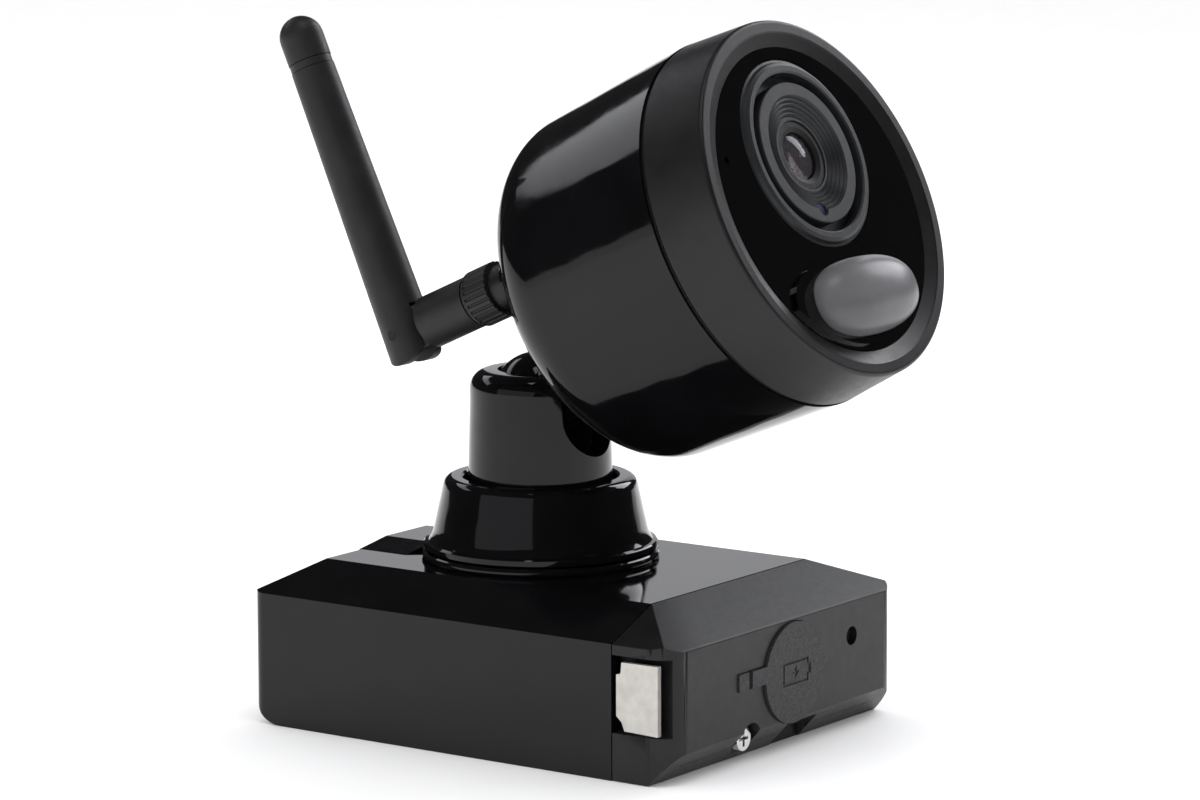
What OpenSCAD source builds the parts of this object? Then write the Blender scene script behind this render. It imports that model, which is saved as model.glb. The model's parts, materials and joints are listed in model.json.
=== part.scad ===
// Wire-free security camera on a battery base.
// Frame: +Z up, origin at the middle of the underside, on the axis of the
// swivel post. The lens and the battery cap face -Y.

/* [Base] */
// Width of the base, along X
base_w = 72; // [70:0.5:76]
// Height of the flat top of the base
base_h = 28.8; // [28.5:0.1:30]
// Height of the upright side faces
side_h = 23.8; // [23:0.1:24.5]
// Distance from the post axis to the rear face
rear_y = 37.8; // [37.5:0.1:40]
// Distance from the post axis to the seam of the battery cap
seam_y = 40.9; // [40:0.1:42]
// Length of the battery cap, along Y
cap_len = 12.3; // [12:0.1:13]
// Wall thickness of the base shell
wall = 2.2; // [2:0.1:2.4]

/* [Battery pack] */
// Number of cells side by side
cell_count = 3; // [2:1:3]
// Diameter of one cell
cell_d = 18.4; // [18:0.1:18.5]
// Length of one cell
cell_len = 65; // [64:0.5:65]
// Radius of the rubber port cover
cover_r = 9; // [8.5:0.1:9.2]

/* [Swivel post] */
// Top of the locking collar
collar_top = 43.6; // [43.4:0.1:44]
// Top rim of the post
rim_z = 62.8; // [62.5:0.1:63.2]
// Radius of the post under its rounded rim
post_r = 12.6; // [12.4:0.1:12.8]
// Height of the centre of the ball
ball_z = 57; // [56.8:0.1:57.2]
// Radius of the ball
ball_r = 9; // [8.8:0.1:9]
// Half width of the slot that the stem swings in
slot_r = 7.4; // [7.3:0.1:7.6]

/* [Camera head] */
// Upward pitch of the head at rest, in degrees
head_tilt = 24.5; // [20:0.5:30]
// Height of the head's axis above the ball centre, square to the axis
head_up = 12.1; // [12:0.1:12.5]
// Distance forward from the ball centre to the head's rear face
rear_s = 19.6; // [19.4:0.1:20]
// Distance forward to the seam between shell and bezel
seam_s = 59.4; // [58:0.1:60]
// Distance forward to the front lip
lip_s = 72.3; // [72:0.1:73]
// Radius of the head at its rear end
head_r = 32.15; // [32:0.05:32.5]
// Radius of the head at the bezel seam
head_seam_r = 33.6; // [33.4:0.1:33.8]
// Radius of the rounding of the rear edge
rear_round = 10; // [9:0.5:10]
// Wall thickness of the head shell
head_wall = 2.2; // [2:0.1:2.4]

/* [Lens and sensor] */
// Height of the lens axis above the head's axis
lens_up = 8.3; // [8:0.1:8.5]
// Radius of the raised ring around the lens
ring_r = 16.3; // [16:0.1:16.5]
// Drop of the motion sensor dome below the head's axis
dome_down = 18.2; // [18:0.1:18.4]
// Half width of the motion sensor dome
dome_w = 14; // [13.5:0.1:14.2]
// Half height of the motion sensor dome
dome_h = 6.9; // [6.5:0.1:7]

/* [Antenna] */
// Sideways position of the antenna, seen from the front
ant_x = -20; // [-20.5:0.1:-19.5]
// Height of the antenna jack above the ball centre, square to the head's axis
ant_up = 18.3; // [18:0.1:18.6]
// Distance of the fold pin behind the ball centre
pin_back = 7.3; // [7:0.1:7.6]
// Radius of the mast at its fork
mast_r = 4.65; // [4.5:0.05:4.8]
// Radius of the mast at its tip
mast_tip_r = 3.95; // [3.8:0.05:4.1]
// Height of the mast above the fold pin, up to the tip cap
mast_len = 50.2; // [45:0.1:55]

/* [Hidden] */
$fn = 64;
eps = 0.01;
far = 100;
half_w = base_w / 2;
gap = 0.3;
joint_gap = 0.2;
cap_y = seam_y + joint_gap;
end_y = cap_y + cap_len;

// the sloping shoulder along each side of the base
shoulder_in = 11.9;
shoulder_angle = atan2(base_h - side_h, shoulder_in);
rear_shoulder = 7.8;
rear_foot_r = 6;
rear_corner_r = 2.5;
cap_corner_r = 5.5;
cap_chamfer_y = 5;
cap_chamfer_z = 5.5;
cap_end_h = 23.2;
hump_half = 14;
hump_top_half = 6;
hump_h = 1.2;
hump_depth = 10;

// fixing holes in the floor of the shell
fix_d = 4.2;
fix_x = 44;
fix_y = 46;

// swivel
ring_h = 1.5;
neck_r = 15.82;
neck_top = 38;
thread_gap = 0.08;
spigot_r = 11.3;
bearing_gap = 0.06;
foot_r = 15.4;
foot_z = 38.8;
foot_h = 2.2;
collar_gap = 0.85;
socket_r = ball_r + 0.35;
rim_round = 3.3;
rim_open_r = 7.6;
stem_r = 6.8;
stem_pin_r = 4;
lead_r = 2.6;
bush_r = 10.4;
bush_len = 4;
bush_screw_r = 7.8;
clip_t = 0.8;
slot_z = 55.5;
clip_s = rear_s + head_wall + bush_len + joint_gap;

// battery pack
tray_z = 4.4;
tray_t = 1.2;
cell_z = tray_z + tray_t + 0.1 + cell_d / 2;
cell_pitch = cell_d + 0.8;
cell_rear = 33.4;
cover_x = 1.2;
cover_z = 13.8;
cover_sink = 1.5;
hinge_x = -12.4;
strap_z = 14.8;
strap_h = 3;
strap_end = -15.8;
led_x = 20.3;
led_z = 16.9;
led_r = 1.6;
screw_x = -11.6;
screw_z = 4.1;
boss_r = 2.8;
screw_room = 3.4;
notch_lo = 1.3;
notch_hi = 10.6;
notch_h = 4.4;
latch_lo = 8.4;
latch_hi = 22;
latch_deep = 2.8;
latch_travel = 1.2;

bush_angles = [30, 150, 270];

// face of the head
window_r = 27.6;
window_s = lip_s - 0.9;
window_t = 1.7;
floor_s = window_s - window_t - 0.2;
lip_in_r = 30.1;
lens_hole_r = 17.2;
groove_r = 14.5;
baffle_r = 12.8;
barrel_r = 6.3;
glass_r = 4.2;
dome_rim = 1.2;
oval_fullness = 1.5;
dome_fullness = 1.15;
dome_base_s = lip_s - 0.2;
surround_w = 19.5;
mic_x = -22.4;
mic_up = 9.4;
surround_h = 8.6;

pit_r = 1.3;
pit_x = -1.6;
pit_down = 10.2;

// antenna
jack_r = 2.95;
jack_s = 11.4;
jack_collar_r = 4.2;
jack_boss = 0.5;
jack_seat = 3.2;
nut_r = 5.1;
nut_s0 = 9.75;
nut_s1 = 15.7;
knuckle_r = 4.7;
knuckle_end = -pin_back + 5.75;
tongue_t = 4;
tongue_r = 3.7;
cheek_gap = 0.15;
fork_r = 5.5;
pin_r = 0.95;
pin_half = 4.5;

// ---------- helpers ----------

// extrudes an outline drawn in X and Z from y0 to y1
module along_y(y0, y1) {
    translate([0, y1, 0]) rotate([90, 0, 0]) linear_extrude(y1 - y0) children();
}

// extrudes an outline drawn in Y and Z from x0 to x1
module along_x(x0, x1) {
    translate([x0, 0, 0]) rotate([90, 0, 90]) linear_extrude(x1 - x0) children();
}

// block between two opposite corners
module block(lo, hi) {
    translate(lo) cube(hi - lo);
}

// cylinder along -Y that starts at distance s0 in front of the origin
module rod(s0, s1, r, x = 0, z = 0) {
    translate([x, -s0, z]) rotate([90, 0, 0]) cylinder(h = s1 - s0, r = r);
}

// points of an arc around c, from angle a to angle b
function arc(c, r, a, b, n = 8) =
    [for (i = [0:n]) c + r * [cos(a + (b - a) * i / n), sin(a + (b - a) * i / n)]];

// cross-section of the base, inset by i all round
module base_outline(i = 0) {
    x1 = half_w - i;
    x2 = half_w - shoulder_in - i * tan(shoulder_angle / 2);
    z1 = side_h - i * (1 - sin(shoulder_angle)) / cos(shoulder_angle);
    polygon([[-x1, i], [x1, i], [x1, z1], [x2, base_h - i], [-x2, base_h - i], [-x1, z1]]);
}

// frame of the head: origin at the ball centre, forward is -Y
module in_head() {
    translate([0, 0, ball_z]) rotate([-head_tilt, 0, 0]) children();
}

// turned shape on the head's axis; the outline is [radius, distance forward]
module on_axis(up = head_up, x = 0) {
    translate([x, 0, up]) rotate([90, 0, 0]) rotate_extrude() children();
}

// ring on an axis of the head
module head_ring(s0, s1, r0, r1, up = head_up, x = 0) {
    on_axis(up, x) translate([r0, s0]) square([r1 - r0, s1 - s0]);
}

// ---------- base ----------

module base_solid(i = 0) {
    intersection() {
        along_y(-seam_y - eps * i, rear_y - i) base_outline(i);
        along_x(-far, far) polygon(concat(
            [[-seam_y - 1, i], [rear_y - rear_foot_r, i]],
            arc([rear_y - rear_foot_r, rear_foot_r], rear_foot_r - i, -90, 0),
            [[rear_y - i, side_h - i * 0.6], [rear_y - rear_shoulder - i * 0.3, base_h - i],
             [-seam_y - 1, base_h - i]]));
        union() {
            block([-half_w, -seam_y - 1, 0], [half_w, rear_y - rear_corner_r, far]);
            block([-half_w + rear_corner_r, 0, 0], [half_w - rear_corner_r, rear_y, far]);
            for (s = [-1, 1])
                translate([s * (half_w - rear_corner_r), rear_y - rear_corner_r, 0])
                    cylinder(h = far, r = rear_corner_r);
        }
    }
}

module base_shell() {
    color("#1a1a1c") difference() {
        union() {
            difference() {
                base_solid();
                difference() {
                    translate([0, -eps, 0]) base_solid(wall);
                    // boss that the lock screw bites into
                    rod(seam_y - 4, seam_y + 1, boss_r, screw_x, screw_z);
                    block([screw_x - boss_r, -seam_y - 1, 0], [screw_x + boss_r, -seam_y + 4, screw_z]);
                }
            }
            // low hump at the rear of the top
            along_y(rear_y - rear_shoulder - hump_depth, rear_y - rear_shoulder + 0.5)
                polygon([[-hump_half, base_h - 0.5], [-hump_half, base_h - eps],
                    [-hump_top_half, base_h + hump_h], [hump_top_half, base_h + hump_h],
                    [hump_half, base_h - eps], [hump_half, base_h - 0.5]]);
            // foot ring under the collar
            rotate_extrude($fn = 96) polygon(concat([[neck_r - 1, base_h - 0.5], [20.6, base_h - 0.5]],
                arc([20.6, base_h + ring_h - 0.8], 0.8, -60, 90, 6), [[neck_r - 1, base_h + ring_h]]));
            // threaded neck for the collar
            translate([0, 0, base_h - wall]) cylinder(h = neck_top - base_h + wall, r = neck_r);
        }
        translate([0, 0, base_h - wall - 1]) cylinder(h = far, r = spigot_r + bearing_gap);
        for (x = [-1, 1], y = [-1, 1])
            translate([x * fix_x / 2, y * fix_y / 2, -1]) cylinder(h = wall + 2, d = fix_d);
        rod(seam_y - 5, seam_y + 1, 1.25, screw_x, screw_z);
    }
}

module shell_contacts() {
    color("#2f6b3a") block([-7, 20, base_h - wall - 1], [7, 28.6, base_h - wall]);
    color("gold") for (x = [-4.5, 0, 4.5])
        block([x - 1, 21.5, base_h - wall - 1.2], [x + 1, 28, base_h - wall - 1]);
}

module friction_washer() {
    color("#d8d8d0") translate([0, 0, neck_top]) difference() {
        cylinder(h = 0.5, r = 15.2);
        translate([0, 0, -1]) cylinder(h = 3, r = spigot_r + 0.3);
    }
}

module lock_collar() {
    bore = neck_r + thread_gap;
    top_in = post_r + 0.45 + collar_gap;
    z0 = base_h + ring_h + gap;
    edge_r = 1.8;
    color("#1a1a1c") rotate_extrude($fn = 96) polygon(concat(
        [[bore, z0], [20.8, z0], [21, z0 + 0.2], [21, z0 + 1.1], [20.8, z0 + 1.3], [20.15, z0 + 1.4]],
        // the flare above the ledge
        arc([25.2, z0 + 5], 6.15, 215, 190, 5),
        [[17.55, collar_top - edge_r]],
        arc([17.5 - edge_r, collar_top - edge_r], edge_r, 5, 90, 7),
        [[top_in + 0.4, collar_top], [top_in, collar_top - 0.4], [top_in, foot_z + foot_h + gap],
         [bore, foot_z + foot_h + gap]]));
}

module swivel_post() {
    color("#1a1a1c") difference() {
        rotate_extrude($fn = 96) polygon(concat(
            [[0, base_h - 1.8], [spigot_r, base_h - 1.8], [spigot_r, foot_z], [foot_r, foot_z],
             [foot_r, foot_z + foot_h], [post_r + 0.45, foot_z + foot_h],
             [post_r, rim_z - rim_round - 1.8]],
            arc([post_r - rim_round, rim_z - rim_round], rim_round, 0, 90),
            [[0, rim_z]]));
        cylinder(h = ball_z, r = socket_r);
        translate([0, 0, ball_z]) sphere(r = socket_r);
        translate([0, 0, ball_z]) cylinder(h = far, r = rim_open_r);
        stem_slot();
    }
}

// round-bottomed slot that the stem swings in
module stem_slot() {
    rod(0, far, slot_r, 0, slot_z);
    block([-slot_r, -far, slot_z], [slot_r, 0, far]);
}

module ball_seat() {
    color("#e8e6df") difference() {
        translate([0, 0, 46.4]) cylinder(h = 6, r = socket_r - 0.1);
        translate([0, 0, ball_z]) sphere(r = ball_r + 0.12);
        translate([0, 0, 40]) cylinder(h = 20, r = 4.5);
        stem_slot();
    }
}

// three disc springs, stacked point to point
module seat_springs() {
    color("#b9bcc0") for (i = [0:2]) {
        z = 43.2 + i;
        flip = i % 2 == 0 ? 0.5 : 0;
        rotate_extrude() polygon([[5, z + 0.5 - flip], [9, z + flip],
            [9, z + flip + 0.4], [5, z + 0.9 - flip]]);
    }
}

module seat_plug() {
    color("#55585c") difference() {
        translate([0, 0, foot_z + 1 + eps]) cylinder(h = 3, r = socket_r - 0.1);
        translate([0, 0, foot_z]) cylinder(h = 6, r = 4);
        for (a = [0, 90]) rotate(a)
            block([-0.8, -7.5, foot_z + 1], [0.8, 7.5, foot_z + 2]);
    }
}

module pivot_ball() {
    color("#1a1a1c") in_head() difference() {
        union() {
            sphere(r = ball_r);
            rod(0, rear_s - gap, stem_r);
            rod(0, clip_s + clip_t + 0.8, stem_pin_r);
        }
        rod(-1, far, lead_r);
        head_ring(clip_s, clip_s + clip_t, stem_pin_r - 0.45, stem_pin_r + 1, 0);
        rotate([head_tilt, 0, 0]) translate([0, 0, -ball_r - 1]) cylinder(h = ball_r + 1, r = lead_r);
    }
}

// spring clip that keeps the stem in its bush
module stem_clip() {
    color("#a8abae") in_head() difference() {
        head_ring(clip_s, clip_s + clip_t, stem_pin_r - 0.45, stem_pin_r + 1.4, 0);
        block([-1.5, -far, 0], [1.5, 0, far]);
    }
}

// ---------- battery pack ----------

module cap_solid() {
    intersection() {
        along_y(-end_y, -cap_y) base_outline();
        along_x(-far, far) polygon([[-cap_y + 1, 0], [-end_y + cap_chamfer_y, 0],
            [-end_y, cap_chamfer_z], [-end_y, cap_end_h], [-cap_y, base_h], [-cap_y + 1, base_h]]);
        union() {
            block([-half_w, -end_y + cap_corner_r, 0], [half_w, 0, far]);
            block([-half_w + cap_corner_r, -end_y, 0], [half_w - cap_corner_r, 0, far]);
            for (s = [-1, 1])
                translate([s * (half_w - cap_corner_r), -end_y + cap_corner_r, 0])
                    cylinder(h = far, r = cap_corner_r);
        }
    }
}

// outline of the rubber cover, grown by g
module cover_solid(s0, s1, g = 0) {
    rod(s0, s1, cover_r + g, cover_x, cover_z);
    rod(s0, s1, 3.4 + g, cover_x + 6.7, cover_z + 1.2);
    block([hinge_x + 0.4 - g, -s1, strap_z - strap_h / 2 - g],
        [cover_x, -s0, strap_z + strap_h / 2 + g]);
}

module battery_cap() {
    color("#2a2a2c") difference() {
        union() {
            cap_solid();
            // spigot that enters the shell
            along_y(-cap_y, -seam_y + 3) difference() {
                base_outline(wall + 0.7);
                base_outline(wall + 2);
            }
        }
        difference() {
            block([-31.3, -end_y + 2.5, 2.7], [31.3, -cap_y + eps, 20.5]);
            // walls round the screw pocket and the finger notch
            block([screw_x - 4.2, -end_y, 0], [screw_x + 4.2, -end_y + 5.7, screw_z + 4]);
            block([notch_lo - 1.2, -end_y, 0], [notch_hi + 1.2, -end_y + 6.5, notch_h + 1.2]);
        }
        // room round the screw boss of the shell
        block([screw_x - screw_room, -cap_y, 0], [screw_x + screw_room, 0, screw_z + screw_room]);
        // seat of the port cover and the opening behind it
        cover_solid(end_y - cover_sink, end_y + 1, 0.15);
        block([strap_end - 0.2, -end_y - 1, strap_z - strap_h / 2 - 0.15],
            [hinge_x + 0.5, -end_y + cover_sink, strap_z + strap_h / 2 + 0.15]);
        block([cover_x - 5.5, -end_y, cover_z - 2.6], [cover_x + 5.5, -end_y + 4, cover_z + 2.6]);
        // light pipe
        rod(end_y - 4, end_y + 1, led_r + 0.1, led_x, led_z);
        // pocket and hole of the lock screw
        rod(end_y - 3.8, end_y + 1, 3, screw_x, screw_z);
        rod(cap_y - 1, end_y, 1.45, screw_x, screw_z);
        // finger notch in the lower edge
        block([notch_lo, -end_y - 1, -1], [notch_hi, -end_y + 5.3, notch_h]);
        // recess of the latch
        block([-half_w - 1, -end_y + 1.2, latch_lo], [-half_w + latch_deep, -cap_y + 1, latch_hi]);
        block([-half_w, -47.6, 13.4], [-30, -45.4, 16.8]);
    }
}

module cap_seal() {
    color("#141414") along_y(-seam_y + 0.6, -seam_y + 1.8) difference() {
        base_outline(wall + 0.3);
        base_outline(wall + 0.7 - eps);
        translate([screw_x - screw_room, 0]) square([2 * screw_room, screw_z + screw_room]);
    }
}

module battery_tray() {
    color("#3a3a3c") difference() {
        union() {
            block([-31, -46, tray_z], [31, cell_rear + 1.4, tray_z + tray_t]);
            for (s = [-1, 1]) translate([s * 30.4, 0, 0])
                block([-0.6, -46, tray_z], [0.6, cell_rear + 1.4, 13]);
            block([-31, cell_rear + 0.3, tray_z], [31, cell_rear + 1.4, 18]);
            block([-29.8, -34.2, tray_z], [29.8, -33.2, 16]);
        }
        // channel for the screw boss of the shell
        block([screw_x - screw_room, -far, 0], [screw_x + screw_room, far, screw_z + screw_room]);
    }
}

module battery_cells() {
    span = (cell_count - 1) * cell_pitch / 2;
    color("#3f6fae") for (i = [0:cell_count - 1])
        translate([i * cell_pitch - span, 0, 0]) difference() {
            union() {
                rod(-cell_rear + 0.4, cell_len - cell_rear - 1.2, cell_d / 2, 0, cell_z);
                rod(-cell_rear + 0.3, cell_len - cell_rear - 0.5, 3.2, 0, cell_z);
            }
            // shallow ring under the positive button
            translate([0, cell_rear - cell_len + 3.2, cell_z]) rotate([90, 0, 0]) rotate_extrude()
                translate([cell_d / 2 - 0.4, 0]) square([1, 0.8]);
        }
}

module cell_straps() {
    span = (cell_count - 1) * cell_pitch / 2;
    color("#c9c9c4") {
        block([-span - 4, cell_rear - cell_len - 0.0, cell_z - 3],
            [span + 4, cell_rear - cell_len + 0.4, cell_z + 3]);
        block([-span - 4, cell_rear + 0.02 - 0.3, cell_z + 3.6],
            [span + 4, cell_rear + 0.2, cell_z + 6]);
    }
}

module pack_contacts() {
    color("gold") for (x = [-4.5, 0, 4.5])
        block([x - 1, 22, cell_z + cell_d / 2 + 0.4], [x + 1, 28, cell_z + cell_d / 2 + 0.7]);
    color("#2f6b3a") block([-7, 21, cell_z + cell_d / 2], [7, 29, cell_z + cell_d / 2 + 0.4]);
}

module charge_board() {
    color("#2f6b3a") difference() {
        block([-28, -47.6, 6.2], [28, -46.4, 19.8]);
        for (x = [-25, 25]) rod(46, 48, 1.2, x, 17);
    }
    color("#222222") for (x = [-18, -10, 12])
        block([x - 2, -46.4, 10], [x + 2, -45.4, 14]);
}

module usb_socket() {
    color("#c4c6c8") difference() {
        block([cover_x - 3.8, -51.6, cover_z - 1.5], [cover_x + 3.8, -47.6, cover_z + 1.5]);
        block([cover_x - 3.5, -52, cover_z - 1.2], [cover_x + 3.5, -48, cover_z + 1.2]);
    }
    color("#222222") block([cover_x - 2.8, -51, cover_z - 0.35], [cover_x + 2.8, -48, cover_z + 0.35]);
}

module status_led() {
    color("#dfe6e2") rod(47.6, end_y - 1.4, led_r, led_x, led_z);
}

module port_anchor() {
    color("#262628") block([strap_end, -end_y - 0.3, strap_z - strap_h / 2],
        [hinge_x - 0.4, -end_y + cover_sink - 0.1, strap_z + strap_h / 2]);
}

// battery outline with a bolt, as flat shapes in X and Z
module battery_sign(t = 0.45) {
    difference() {
        square([8, 4.2], center = true);
        square([8 - 2 * t, 4.2 - 2 * t], center = true);
    }
    translate([4.4, 0]) square([0.8, 1.8], center = true);
    polygon([[0.5, 1.4], [-1.1, -0.2], [-0.1, -0.2], [-0.5, -1.4], [1.1, 0.2], [0.1, 0.2]]);
}

module port_cover() {
    face = end_y + 0.5;
    color("#262628") difference() {
        union() {
            cover_solid(end_y - cover_sink + 0.15, face);
            block([cover_x - 3.1, -end_y + cover_sink - 0.3, cover_z - 0.95],
                [cover_x + 3.1, -end_y + cover_sink + 0.2, cover_z + 0.95]);
        }
        translate([cover_x + 0.3, 0, cover_z]) along_y(-face - 1, -face + 0.25) battery_sign();
        // living hinge
        block([hinge_x - 1, -end_y + 0.5, 0], [hinge_x + 1.6, -end_y + 3, 30]);
    }
}

module latch_plate() {
    outer = half_w - 0.35;
    color("#dad7cd") {
        difference() {
            along_x(-outer, -outer + 1) polygon([[-50.3, 8.7], [-43.4, 8.9], [-42.8, 10.4],
                [-41.7, 11.4], [-41.7, 18.6], [-42.6, 18.8], [-42.8, 20.8], [-50.3, 20.9]]);
            translate([-outer, -46.9, 0]) rotate(-8) block([-1, -5, 0], [0, 0, 30]);
        }
        block([-outer + 0.9, -47.3, 13.7], [-31.6, -45.7, 16.5]);
    }
}

module latch_spring() {
    x0 = -31.3;
    bow = 1.6;
    color("#a8abae") upright_strip([[x0, -49.6], [x0, -49], [x0 + bow, -47.2], [x0 + bow, -45.8],
        [x0, -44], [x0, -43.4]], 13.6, 16.6);
}

// thin strip through the listed points in X and Y, upright from z0 to z1
module upright_strip(points, z0, z1) {
    t = 0.3;
    translate([0, 0, z0]) linear_extrude(z1 - z0)
        polygon(concat(points, [for (i = [len(points) - 1:-1:0]) points[i] + [t, 0]]));
}

module lock_screw() {
    head = end_y - 1.7;
    color("#cfd2d4") difference() {
        union() {
            rod(head - 1.6, head, 2.15, screw_x, screw_z);
            rod(seam_y - 3.6, head - 1.6 + eps, 1.15, screw_x, screw_z);
        }
        for (a = [0, 90]) translate([screw_x, -head, screw_z]) rotate([0, a, 0])
            block([-1.4, -1, -0.3], [1.4, 0.8, 0.3]);
    }
}

// ---------- camera head ----------

module shell_outline(i = 0, front = 0) {
    r = head_r - i;
    round_r = rear_round - i;
    slope = (head_seam_r - head_r) / (seam_s - rear_s);
    polygon(concat([[0, rear_s + i]],
        arc([head_r - rear_round, rear_s + rear_round], round_r, -90, 0, 10),
        [[r + slope * (seam_s - rear_s), seam_s + front], [0, seam_s + front]]));
}

module head_shell() {
    color("#1a1a1c") in_head() difference() {
        union() {
            difference() {
                on_axis($fn = 96) shell_outline();
                on_axis($fn = 96) shell_outline(head_wall, 1);
            }
            // boss for the antenna jack, inside and out
            rod(rear_s - jack_boss, rear_s + jack_seat, jack_collar_r + 0.6, ant_x, ant_up);
        }
        // passages for the stem pin, the bush screws and the antenna jack
        rod(0, 30, stem_pin_r + gap);
        for (a = bush_angles)
            rod(rear_s + 0.8, 30, 1.05, bush_screw_r * cos(a), bush_screw_r * sin(a));
        rod(0, 30, jack_r + 0.1, ant_x, ant_up);
    }
}

module shell_seal() {
    color("#141414") in_head() head_ring(seam_s + eps, seam_s + 0.35, 30.2, 33);
}

module stem_bush() {
    color("#3a3a3c") in_head() difference() {
        rod(rear_s + head_wall + eps, rear_s + head_wall + bush_len, bush_r);
        rod(0, 30, stem_pin_r + bearing_gap);
        for (a = bush_angles) rod(0, 30, 1.2, bush_screw_r * cos(a), bush_screw_r * sin(a));
    }
}

module bush_screws() {
    seat = rear_s + head_wall + bush_len;
    color("#b9bcc0") in_head() for (a = bush_angles)
        translate([bush_screw_r * cos(a), 0, bush_screw_r * sin(a)]) difference() {
            union() {
                rod(rear_s + 1, seat + eps, 1);
                rod(seat + eps, seat + 1.3, 2);
            }
            translate([0, -seat - 1.4, 0]) block([-1.5, 0, -0.25], [1.5, 0.8, 0.25]);
        }
}

// frame that carries the boards, turned ring with four feet
module chassis() {
    color("#3a3a3c") in_head() {
        head_ring(46.2, 48.4, 25.2, 30.6);
        for (a = [45:90:315])
            rod(48.3, 63.2 - eps, 1.8, 27 * cos(a), head_up + 27 * sin(a));
    }
}

module main_board() {
    color("#2f6b3a") in_head() difference() {
        rod(44.4, 46, 28.6, 0, head_up);
        for (a = [45:90:315]) rod(44, 47, 1.6, 27 * cos(a), head_up + 27 * sin(a));
    }
}

module main_chips() {
    color("#202022") in_head() {
        block([-6, -47.4, 14], [6, -46, 26]);
        block([-5, -47.2, 2], [5, -46, 10]);
        for (x = [-15, 13]) block([x, -47, 0], [x + 5, -46, 8]);
    }
}

module radio_can() {
    color("#c4c6c8") in_head() block([-20, -44.4, 15], [-6, -42, 31]);
}

module sensor_board() {
    color("#2f6b3a") in_head() block([-12, -54.6, lens_up + head_up - 11],
        [12, -53.4, lens_up + head_up + 11]);
}

module image_sensor() {
    color("#30343c") in_head() block([-4, -55.6, lens_up + head_up - 3.4],
        [4, -54.6, lens_up + head_up + 3.4]);
}

module lens_holder() {
    z = lens_up + head_up;
    color("#1c1c1e") in_head() difference() {
        union() {
            block([-8, -60, z - 8], [8, -54.6, z + 8]);
            rod(59, 65.5, 7.2, 0, z);
        }
        rod(50, 70, barrel_r - 0.6, 0, z);
        block([-5, -57, z - 5], [5, -54, z + 5]);
    }
}

module lens_barrel() {
    color("#161618") in_head() on_axis(lens_up + head_up) polygon([[3.2, 57.2], [barrel_r - 0.6, 57.2],
        [barrel_r - 0.6, 66.2], [barrel_r - 0.1, 66.2], [barrel_r - 0.1, lip_s - 1.9], [5.2, lip_s - 1.9],
        [glass_r + 0.15, lip_s - 2.3], [glass_r + 0.15, lip_s - 3.6], [2, lip_s - 4.2],
        [2, lip_s - 5], [3.2, lip_s - 5.6]]);
}

module front_glass() {
    crown = 12;
    color([0.35, 0.4, 0.55, 0.6]) in_head() on_axis(lens_up + head_up) polygon(concat(
        [[0, lip_s - 3.55], [glass_r + 0.1, lip_s - 3.55]],
        [for (i = [8:-1:0]) let(x = glass_r * i / 8)
            [x, lip_s - 2.1 - crown + sqrt(crown * crown - x * x)]]));
}

module led_board() {
    z = lens_up + head_up;
    color("#2f6b3a") in_head() difference() {
        rod(63.2, 64.4, 28.4, 0, head_up);
        rod(60, 70, 13.5, 0, z);
        rod(60, 70, 6, 0, head_up - dome_down);
    }
}

module ir_leds() {
    color([0.75, 0.78, 0.85]) in_head() for (s = [-1, 1], z = [0, 7])
        rod(64.4, 67.8, 1.6, s * 21, head_up - 7 + z);
}

module pir_sensor() {
    color("#c4c6c8") in_head() {
        rod(60.8, 65, 4.1, 0, head_up - dome_down);
        rod(60.2, 60.8, 4.7, 0, head_up - dome_down);
    }
    color("#4a3038") in_head() block([-2, -65.2, head_up - dome_down - 1.5],
        [2, -65, head_up - dome_down + 1.5]);
}

module front_bezel() {
    r_back = head_seam_r - 0.1;
    r_lip = 32.5;
    color("#2a2a2c") in_head() on_axis($fn = 96) polygon(concat(
        [[30.9, seam_s - 4.6], [31.1, seam_s - 4.2], [31.1, seam_s - 0.02], [30, seam_s - 0.02],
         [30, seam_s + 0.4], [r_back - 0.5, seam_s + 0.4], [r_back, seam_s + 0.9]],
        arc([r_lip - 0.7, lip_s - 0.7], 0.7, 5, 90, 5),
        [[lip_in_r + 0.2, lip_s], [lip_in_r - 0.1, lip_s - 0.15], [window_r + 0.15, window_s - 0.05],
         [window_r + 0.15, window_s - window_t - 0.2], [26, window_s - window_t - 0.2],
         [26, window_s - window_t - 1.8], [29.3, window_s - window_t - 3], [29.3, seam_s - 4.6]]));
}

// oval of half width w and half height h, made of four tangent arcs; fuller ends with a larger fullness
module oval_2d(w, h, fullness = oval_fullness) {
    r = fullness * h * h / w;
    c = (pow(w - r, 2) - pow(h - r, 2)) / (2 * (h - r));
    reach = (w - r) * (c + h) / (c + h - r);
    intersection() {
        translate([0, -c]) circle(c + h, $fn = 128);
        translate([0, c]) circle(c + h, $fn = 128);
        square([2 * reach, 2 * h], center = true);
    }
    for (s = [-1, 1]) translate([s * (w - r), 0]) circle(r);
}

// oval block on the dome's centre, from s0 to s1
module oval(s0, s1, w, h, fullness = oval_fullness) {
    translate([0, -s0, head_up - dome_down]) rotate([90, 0, 0]) linear_extrude(s1 - s0)
        oval_2d(w, h, fullness);
}

// egg shape turned from an oval about X
module egg(w, h) {
    translate([0, -dome_base_s, head_up - dome_down]) rotate([0, 90, 0]) rotate_extrude() intersection() {
        rotate(90) oval_2d(w, h, dome_fullness);
        translate([0, -w - 1]) square([h + 1, 2 * w + 2]);
    }
}

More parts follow.
